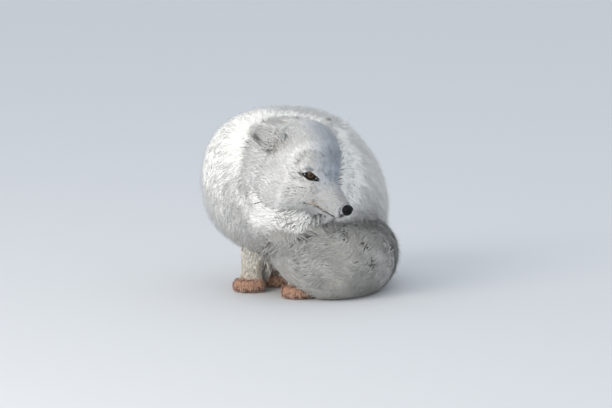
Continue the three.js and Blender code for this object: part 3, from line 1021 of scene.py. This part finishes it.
# darker marks, in the head's frame and mm: from, to, reach, colour, strength, on both sides
marks = {
    "muzzleTop": ((55, 1.5, -18), (36, 3, -11), 11, (0.30, 0.29, 0.31), 0.75, True),
    # painted blue-grey shade over the crown and the back of the head, for the side turned away from the light
    "crownPaintedShade": ((14, 0, 14), (-32, 0, 44), 44, (0.49, 0.54, 0.615), 0.95, False),
    "muzzle": ((48, 0, -30), (14, 0, -24), 34, (0.55, 0.555, 0.56), 0.7, False),
    "eyeCorner": ((-7, 34, -2), (-24, 47, -11), 3.4, (0.16, 0.15, 0.15), 0.85, True),
    "tearLine": ((7, 17, -2), (13, 16.5, -9), 2.4, (0.30, 0.29, 0.29), 0.6, True),
    "mouthCorner": ((24, 16, -39), (3, 31, -34), 4.5, (0.60, 0.46, 0.30), 0.6, True),
    "lipShade": ((52, 6, -39), (22, 17, -40.5), 2.6, (0.30, 0.28, 0.26), 0.6, True),
    "whiskerRowBack": ((3, 30, -34), (11, 27, -32), 1.6, (0.45, 0.42, 0.33), 0.5, True),
    "whiskerRowFront": ((17, 21, -32), (33, 17, -24), 1.8, (0.50, 0.47, 0.38), 0.5, True),
    # the next three ear marks are painted shade in the ear's cup and along its base
    "earFrontPaintedShade": ((-58, 51, 15), (-66, 55, 8), 5, (0.22, 0.20, 0.17), 0.75, True),
    "earHollowPaintedShade": ((-84, 76, 27), (-79, 62, 17), 5.5, (0.20, 0.19, 0.18), 0.8, True),
    "earLowEdgePaintedShade": ((-79, 62, 17), (-66, 46, 14), 4.5, (0.32, 0.29, 0.25), 0.7, True),
    "farEarTip": ((-71, 67, 53), (-77, 75, 62), 8, (0.20, 0.18, 0.16), 0.85, False),
    "earBelow": ((-88, 34, 0), (-82, 36, -10), 5, (0.40, 0.33, 0.24), 0.6, True),
    "cheekStreak": ((-60, 58, -12), (-57, 60, -19), 3.5, (0.36, 0.31, 0.25), 0.6, True),
    "cheekArc": ((-20, 58, -24), (-12, 57, -33), 4.5, (0.55, 0.55, 0.56), 0.5, True),
    "cheekArcBack": ((-32, 62, -20), (-24, 63, -30), 5, (0.55, 0.55, 0.56), 0.5, True),
}


def coatColour(parts, points):
    # colour of hair tips and of hair roots; the face grows whiter towards the neck
    trunk, neck, head, ear, leg, paw, tail = parts.T
    behind = ramp(-headPlaces(points)[:, 0], -14, 20) * head
    shares = {"white": trunk + neck + behind, "face": head - behind, "ear": ear, "leg": leg, "paw": paw,
              "tail": tail}
    tips = sum(share[:, None] * np.array(coatColours[key]) for key, share in shares.items())
    roots = sum(share[:, None] * np.array(coatColours[key + "Root"]) for key, share in shares.items())
    return tips, roots


def marked(colours, points):
    # the marks laid over colours at these points
    inHead = headPlaces(points)
    for start, end, reach, colour, strength, paired in marks.values():
        place = np.where([False, paired, False], np.abs(inHead), inHead)
        share = (strength * (1 - ramp(besideBar(place, start, end)[1], 0.25 * reach, reach)))[:, None]
        colours = colours * (1 - share) + np.array(colour) * share
    return colours


def painted(mesh, colours):
    # the "coat" attribute, which the fur's and the skin's materials read
    values = np.concatenate([colours, np.ones((len(colours), 1))], 1)
    pushed(mesh.color_attributes.new("coat", "FLOAT_COLOR", "POINT").data, "color", values)


# lengths and widths in mm, lift in degrees off the skin, turn and scatter in radians for locks and for hairs;
# stand is how far stray hairs reach out of the coat. A part has these unless its own settings say otherwise
plainTufts = {
    "lift": 24, "clump": 12, "scatter": 0.2, "wideAt": 0.56, "proud": 0, "uneven": 0, "sunk": 0,
    "ragged": 0.01, "strays": 0, "stand": 1, "pieces": 1, "outer": None, "bridged": None,
    "earFree": False, "onFace": False,
}
tufts = {
    "trunk": {"count": 94000, "deepest": 36, "shortest": 28, "longest": 74, "lift": 23, "width": 2.3,
              "clump": 30, "draw": 0.03, "turn": 0.03, "uneven": 0.05, "sunk": 0.02, "strays": 0.16,
              "stand": 7, "fleck": 0.01, "pieces": 3, "outer": softOuter},
    "neck": {"count": 27000, "deepest": 42, "shortest": 22, "longest": 85, "width": 2.6,
             "clump": 28, "draw": 0.05, "turn": 0.04, "uneven": 0.06, "sunk": 0.02, "strays": 0.08,
             "stand": 5, "fleck": 0.012, "outer": bodyOuter, "earFree": True, "bridged": (-30, 20)},
    "head": {"count": 66000, "deepest": 19, "shortest": 3.2, "longest": 34, "width": 0.72, "wideAt": 0.62,
             "clump": 7, "draw": 0.04, "turn": 0.04, "scatter": 0.17, "proud": 0.3, "uneven": 0.12,
             "sunk": 0.03, "ragged": 0.03, "strays": 0.04, "stand": 3, "fleck": 0.12, "pieces": 3,
             "outer": bodyOuter, "earFree": True, "onFace": True, "bridged": (6, 52)},
    "ear": {"count": 9000, "deepest": 3, "shortest": 3.5, "longest": 8, "lift": 14, "width": 0.6,
            "wideAt": 0.6, "draw": 0.12, "turn": 0.08, "scatter": 0.16, "ragged": 0.04, "fleck": 0.06},
    "leg": {"count": 11000, "deepest": 7, "shortest": 9, "longest": 14, "lift": 14, "width": 0.95,
            "wideAt": 0.7, "clump": 14, "draw": 0.08, "turn": 0.06, "scatter": 0.16, "proud": 0.2,
            "uneven": 0.05, "sunk": 0.02, "ragged": 0.02, "strays": 0.01, "stand": 2, "fleck": 0.025,
            "outer": legOuter},
    "paw": {"count": 8000, "deepest": 3, "shortest": 3, "longest": 5.5, "lift": 22, "width": 0.65,
            "wideAt": 0.7, "draw": 0.3, "turn": 0.12, "scatter": 0.1, "ragged": 0.05, "fleck": 0.06},
    "tail": {"count": 36000, "deepest": 34, "shortest": 30, "longest": 76, "width": 1.7, "wideAt": 0.66,
             "clump": 60, "draw": 0.4, "turn": 0.4, "scatter": 0.38, "proud": 0.5, "uneven": 1.5, "sunk": 2.2,
             "ragged": 0.14, "strays": 0.12, "stand": 6, "fleck": 0.08, "pieces": 2, "outer": bodyOuter},
}
# what all the parts share: random shares, and in mm the limits that keep hairs by the coat's outer surface
growth = {
    "lengths": 0.16, "widths": (0.7, 0.6), "inOut": 0.12, "flecks": 0.03,
    "reach": 35, "leastFacing": 0.1, "strayFrom": 1.5, "strayWidth": 0.4,
    "steepest": 0.8, "fullAt": 18, "colourFullAt": 14, "lowShare": 0.6, "lowRise": 3, "lowHeight": 6,
    "under": (0.25, 0.15), "underMost": 0.4, "outMost": 0.3, "arch": 0.3,
    "tipHeight": 1, "middleHeight": 2, "aboveCad": 6,
    "bridgeDepth": 12, "bridgeLength": 16, "byEar": 16, "earShare": 0.02, "drawnReach": 0.5,
}
# the head's own lengths: longer towards the neck, and over each brow
headGrowth = {
    "longer": (1.12, 0.4, 18, 48), "brow": 22, "browReach": (26, 46), "browAbove": 6, "cutAtEye": 0.45,
}


def skinTriangles():
    mesh = skin.data
    mesh.calc_loop_triangles()
    ends, loops = (pulled(mesh.loop_triangles, field, 3, np.int32) for field in ("vertices", "loops"))
    uv = pulled(mesh.uv_layers["OFBake"].data, "uv", 2)
    a, b, c = (skinCo[ends[:, number]] for number in range(3))
    return ends, uv[loops], np.linalg.norm(np.cross(b - a, c - a), axis=1) / 2


triangles, triangleUv, triangleArea = skinTriangles()


def overEyes(inHead, margin):
    # which places lie over the dark rim of either eye
    found = np.zeros(len(inHead), bool)
    for side in sides:
        reach, ahead, u, w, _ = seenFromEye(side, inHead)
        found |= (insideAlmond(eyeForm["rim"], u, w) > margin) & (ahead > 0) & (reach < 20)
    return found


# heights over the sole, and places along the head, where hair begins and ends
hairEdges = {"sole": (1.2, 3), "nose": (54.5, 56), "insideRim": 0.6}


def hairyShare():
    # 0 where no hair grows: eyes, nose, mouth line and soles
    share = ramp(skinCo[:, 2] / mm, *hairEdges["sole"]) * (1 - ramp(headCo[:, 0], *hairEdges["nose"]))
    for way in mouthWays.values():
        share *= besideMouth(skinCo, way, *mouthForm["bare"])
    share[overEyes(headCo, hairEdges["insideRim"])] = 0
    return share


def scattered(share, count):
    # roots spread evenly over a share of the skin, with what the skin has there
    odds = triangleArea * share[triangles].mean(1)
    odds[share[triangles].min(1) < 0.02] = 0
    picked = chance.choice(len(triangles), count, p=odds / odds.sum())
    a, b = chance.random(count), chance.random(count)
    flip = a + b > 1
    a[flip], b[flip] = 1 - a[flip], 1 - b[flip]
    weights = np.stack([1 - a - b, a, b], 1)[:, :, None]

    def there(values):
        return (values[triangles[picked]] * weights).sum(1)

    return {"root": there(skinCo), "normal": unit(there(skinNormals)), "lie": unit(there(skinLie)),
            "parts": there(skinParts), "uv": (triangleUv[picked] * weights).sum(1)}


def locksOf(root, clump):
    # some roots lead a lock, and every root belongs to the nearest of them
    leaders = chance.choice(len(root), max(len(root) // clump, 1), replace=False)
    tree = KDTree(len(leaders))
    for index, leader in enumerate(leaders):
        tree.insert(root[leader], index)
    tree.balance()
    return leaders, np.array([tree.find(p)[1] for p in root])


def headLength(length, root):
    inHead = headPlaces(root)
    least, more, low, high = headGrowth["longer"]
    length = length * (least + more * ramp(-inHead[:, 0], low, high))
    # over the brow the hair is long enough to climb its slope
    for side in sides:
        reach, _, _, w, _ = seenFromEye(side, inHead)
        near = 1 - ramp(reach, *headGrowth["browReach"])
        length = np.maximum(length, headGrowth["brow"] * near * ramp(w, 0, headGrowth["browAbove"]))
    return length


def depthUnder(outer, root, normal, back):
    # how deep a root lies under the coat's outer surface, in mm
    hits = (tree.ray_cast(Vector(root), Vector(normal)) for tree in (outer, softOuter))
    near, bridged = (hit[3] / mm if hit[0] else 1.0 for hit in hits)
    return near + (bridged - near) * back


def onCoat(outer, point, back):
    # the nearest place on the coat's outer surface, its facing and its distance in mm
    spot, facing, _, reach = outer.find_nearest(Vector(point))
    if back > 0:
        over, lean, _, _ = softOuter.find_nearest(Vector(point))
        spot, facing = spot.lerp(over, back), facing.lerp(lean, back).normalized()
    return spot, facing, reach / mm


def measured(form, coat, stretch):
    # each hair's depth, length and rise, in mm
    outer, back = form["outer"], coat["back"]
    depth = np.full(len(back), float(form["deepest"]))
    if outer:
        depth = np.array([depthUnder(outer, *each) for each in zip(coat["root"], coat["normal"], back)])
    depth = np.clip(depth, 1.0, form["deepest"] + growth["bridgeDepth"] * back)
    length = np.clip(depth / math.sin(math.radians(form["lift"])), form["shortest"],
                     form["longest"] + growth["bridgeLength"] * back) * stretch
    if form["earFree"]:
        byEar = coat["parts"][:, partNames.index("ear")] > growth["earShare"]
        length = np.where(byEar, np.minimum(length, growth["byEar"]), length)
    if form["onFace"]:
        length = headLength(length, coat["root"])
    return {"depth": depth, "length": length, "rise": np.minimum(depth, length * growth["steepest"])}


def cutAtEyes(coat):
    # no hair reaches over an eye
    root, tip, cut = coat["root"], coat["tip"], headGrowth["cutAtEye"]
    for _ in range(3):
        over = overEyes(headPlaces(tip), 0) | overEyes(headPlaces((root + tip) / 2), 0)
        tip[over] = root[over] + (tip[over] - root[over]) * cut
        coat["length"][over] *= cut
        coat["rise"][over] *= cut


def tipsToCoat(outer, coat, inset):
    # moves tips to the coat's outer surface, and returns which hairs would cross it and lie low instead
    low = np.zeros(len(inset), bool)
    for index, tip in enumerate(coat["tip"]):
        root, normal = coat["root"][index], coat["normal"][index]
        spot, facing, reach = onCoat(outer, tip, coat["back"][index])
        if facing.dot(Vector(normal)) < growth["leastFacing"]:
            along = coat["lie"][index] * coat["length"][index] * growth["lowShare"]
            tip[:] = root + (along + normal * min(coat["rise"][index], growth["lowRise"])) * mm
            tip[2] = min(tip[2], root[2] + growth["lowHeight"] * mm)
            low[index] = True
        elif reach < growth["reach"] or (Vector(tip) - spot).dot(facing) > 0:
            tip[:] = spot - facing * inset[index] * mm
    return low


def middlesToCoat(outer, coat, under, low):
    # the widest places lie just under the coat's outer surface too, so the hairs lie along it
    for index in np.flatnonzero(~low):
        middle = coat["middle"][index]
        spot, facing, reach = onCoat(outer, middle, coat["back"][index])
        if reach < growth["reach"] and facing.dot(Vector(coat["normal"][index])) > growth["leastFacing"]:
            middle[:] = spot - facing * (under[index] * mm)
            coat["up"][index] = facing


def growCoat(form, share):
    count, outer = form["count"], form["outer"]
    coat = scattered(share, count)
    root, normal, lie = coat["root"], coat["normal"], coat["lie"]
    leaders, lock = locksOf(root, form["clump"])

    def byLock(scale):
        return chance.normal(0, scale, len(leaders))[lock]

    turn = byLock(form["turn"]) + chance.normal(0, form["scatter"], count)
    stretch = (1 + byLock(form["ragged"])) * (1 + chance.normal(0, growth["lengths"], count))
    coat["lie"] = lie = unit(lie * np.cos(turn)[:, None] + np.cross(normal, lie) * np.sin(turn)[:, None])
    # towards the back of the head the hair bridges the hollow before the neck
    coat["back"] = np.zeros(count)
    if form["bridged"]:
        coat["back"] = ramp(-headPlaces(root)[:, 0], *form["bridged"])
    coat.update(measured(form, coat, stretch))
    depth, length, rise = coat["depth"], coat["length"], coat["rise"]
    run = np.sqrt(np.maximum(length ** 2 - rise ** 2, 0))
    tip = root + (normal * rise[:, None] + lie * run[:, None]) * mm
    fromLeader = np.linalg.norm(root - root[leaders[lock]], axis=1)
    drawn = form["draw"] * np.exp(-(fromLeader / (growth["drawnReach"] * length * mm)) ** 2)
    coat["tip"] = tip = tip + (tip[leaders[lock]] - tip) * drawn[:, None]
    if form["onFace"]:
        cutAtEyes(coat)
    # most tips end near the coat's outer surface, whole locks and single hairs a little in or out
    strays = chance.random(count) < form["strays"]
    out = np.where(strays, growth["strayFrom"] + form["stand"] * chance.random(count), 0)
    inset = -form["proud"] + byLock(form["uneven"]) + growth["inOut"] * chance.normal(0, 1, count) - out
    inset = np.minimum(inset * np.minimum(length / growth["fullAt"], 1), depth * growth["outMost"])
    low = tipsToCoat(outer, coat, inset) if outer else None
    tip[:, 2] = np.clip(tip[:, 2], growth["tipHeight"] * mm, cadBox[1][2] + growth["aboveCad"] * mm)
    least, more = growth["under"]
    under = least + np.abs(byLock(form["sunk"])) + more * chance.random(count)
    coat["middle"] = root + (tip - root) * form["wideAt"] + normal * (rise * growth["arch"] * mm)[:, None]
    coat["up"] = normal.copy()
    if outer:
        middlesToCoat(outer, coat, np.minimum(under, depth * growth["underMost"]), low)
    coat["middle"][:, 2] = np.maximum(coat["middle"][:, 2], growth["middleHeight"] * mm)
    shade = byLock(form["fleck"]) + chance.normal(0, growth["flecks"], count)
    coat["shade"] = 1 + shade * np.minimum(length / growth["colourFullAt"], 1)
    least, more = growth["widths"]
    thin = np.where(strays, growth["strayWidth"], 1)
    coat["width"] = form["width"] * (least + more * chance.random(count)) * thin
    return coat


# each tuft is a slender closed leaf: a root point, a ring of three where it is widest, and a tip
tuftForm = {
    "faces": [[0, 1, 2], [0, 2, 3], [0, 3, 1], [1, 4, 2], [2, 4, 3], [3, 4, 1]],
    "thick": 0.3, "patch": 0.0028, "lightest": 0.97, "towardsTip": 0.65,
}


def tuftMesh(name, coat, wideAt):
    root, middle, tip, width = coat["root"], coat["middle"], coat["tip"], coat["width"][:, None] * mm
    count = len(root)
    slope = unit(tip - middle)
    side = unit(np.cross(slope, coat["up"])) * width / 2
    over = np.cross(side, slope) * 2 * tuftForm["thick"]
    co = np.stack([root, middle - side, middle + side, middle + over, tip], 1)
    loops = (np.array(tuftForm["faces"]).ravel()[None] + np.arange(count)[:, None] * 5).ravel()
    mesh = bpy.data.meshes.new(name)
    mesh.vertices.add(count * 5)
    pushed(mesh.vertices, "co", co)
    mesh.loops.add(len(loops))
    pushed(mesh.loops, "vertex_index", loops, np.int32)
    mesh.polygons.add(len(loops) // 3)
    pushed(mesh.polygons, "loop_start", np.arange(0, len(loops), 3), np.int32)
    mesh.update(calc_edges=True)
    # a small patch of the skin's unwrap for each tuft
    spot = (np.array([[0.5, 0], [0, wideAt], [1, wideAt], [0.5, wideAt], [0.5, 1]]) - 0.5) * tuftForm["patch"]
    uv = np.clip(coat["uv"][:, None, :] + spot[None], 0.0005, 0.9995)
    pushed(mesh.uv_layers.new(name="OFBake").data, "uv", uv.reshape(-1, 2)[loops])
    tips, roots = coatColour(coat["parts"], root)
    levels = []
    for t, spot in ((0, root), (wideAt, middle), (1, tip)):
        blend = t ** tuftForm["towardsTip"]
        level = marked(roots * (1 - blend) + tips * blend, spot) * coat["shade"][:, None]
        levels.append(np.clip(level, 0, tuftForm["lightest"]))
    painted(mesh, np.stack([levels[number] for number in (0, 1, 1, 1, 2)], 1).reshape(-1, 3))
    return placed(name, mesh)


stage("coat")
furSockets = {"Specular IOR Level": 0.25, "Sheen Weight": 0.3, "Sheen Roughness": 0.5}
furFinish = finish("winter fur", (0.9, 0.88, 0.84), {"Roughness": 0.75, **furSockets}, (260, 0.96, 1.03),
                   attribute="coat")
hairy = hairyShare()
coatPieces = []
for part in partNames:
    form = {**plainTufts, **tufts[part]}
    coat = growCoat(form, skinParts[:, partNames.index(part)] * hairy)
    order = np.argsort(inFrame(trunkFrame.inverted(), coat["root"])[:, 0])
    for number, chosen in enumerate(np.array_split(order, form["pieces"])):
        some = {key: values[chosen] for key, values in coat.items()}
        piece = tuftMesh(f"{part}Coat{number + 1}", some, form["wideAt"])
        piece.data.materials.append(furFinish)
        coatPieces.append((piece, part))
    stage(f"{part} coat")

painted(skin.data, marked(coatColour(skinParts, skinCo)[1], skinCo))
skin.data.materials.append(finish("skin under the fur", (0.8, 0.78, 0.74), {"Roughness": 0.8, **furSockets},
                                  (400, 0.85, 1.05), (1400, 0.6, 0.6), "coat"))

# places and sizes in mm, but the farthest that is seen in m
studio = {
    "aim": (7.44, -35.5, 130.3), "distance": 6000, "elevation": 9,
    "lens": 243.3, "sensor": 36, "farthest": 200,
    "floor": (0.72, 0.735, 0.76), "floorRoughness": 0.9, "floorSize": 40000,
    "sky": (0.89, 0.945, 1), "skyStrength": 0.81,
    "lights": {
        "key": {"at": (-2200, -2000, 1800), "size": 1600, "watts": 46, "colour": (1, 0.94, 0.865)},
        "fill": {"at": (-900, -2300, 260), "size": 1500, "watts": 13, "colour": (1, 0.94, 0.86)},
    },
}


def aimed(name, data, at):
    piece = placed(name, data)
    piece.location = Vector(at) * mm
    piece.rotation_euler = (Vector(studio["aim"]) - Vector(at)).to_track_quat("-Z", "Y").to_euler()
    return piece


def buildStudio():
    tilt = math.radians(studio["elevation"])
    camera = bpy.data.cameras.new("camera")
    camera.lens = studio["lens"]
    camera.sensor_width = studio["sensor"]
    camera.clip_end = studio["farthest"]
    back = Vector((0, -math.cos(tilt), math.sin(tilt)))
    scene.camera = aimed("camera", camera, Vector(studio["aim"]) + back * studio["distance"])
    for name, form in studio["lights"].items():
        light = bpy.data.lights.new(name, "AREA")
        light.size = form["size"] * mm
        light.energy = form["watts"]
        light.color = form["colour"]
        aimed(name, light, form["at"])
    scene.world = bpy.data.worlds.new("studio")
    scene.world.use_nodes = True
    sky = scene.world.node_tree.nodes["Background"].inputs
    sky["Color"].default_value = (*studio["sky"], 1)
    sky["Strength"].default_value = studio["skyStrength"]
    bm = bmesh.new()
    bmesh.ops.create_grid(bm, x_segments=1, y_segments=1, size=studio["floorSize"] / 2 * mm)
    floor = finished(bm, "floor")
    cover = bpy.data.materials.new("floor")
    cover.use_nodes = True
    shader = cover.node_tree.nodes["Principled BSDF"].inputs
    shader["Base Color"].default_value = (*studio["floor"], 1)
    shader["Roughness"].default_value = studio["floorRoughness"]
    floor.data.materials.append(cover)
    scene.view_settings.view_transform = "Standard"


stage("studio")
buildStudio()

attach(skin, "root")
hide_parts(*fleshNodes)
for piece, slot, nodes in details:
    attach(piece, "root")
    if nodes:
        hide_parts(*nodes)
for piece, part in coatPieces:
    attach(piece, "root")

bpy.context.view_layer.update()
stage("finished")
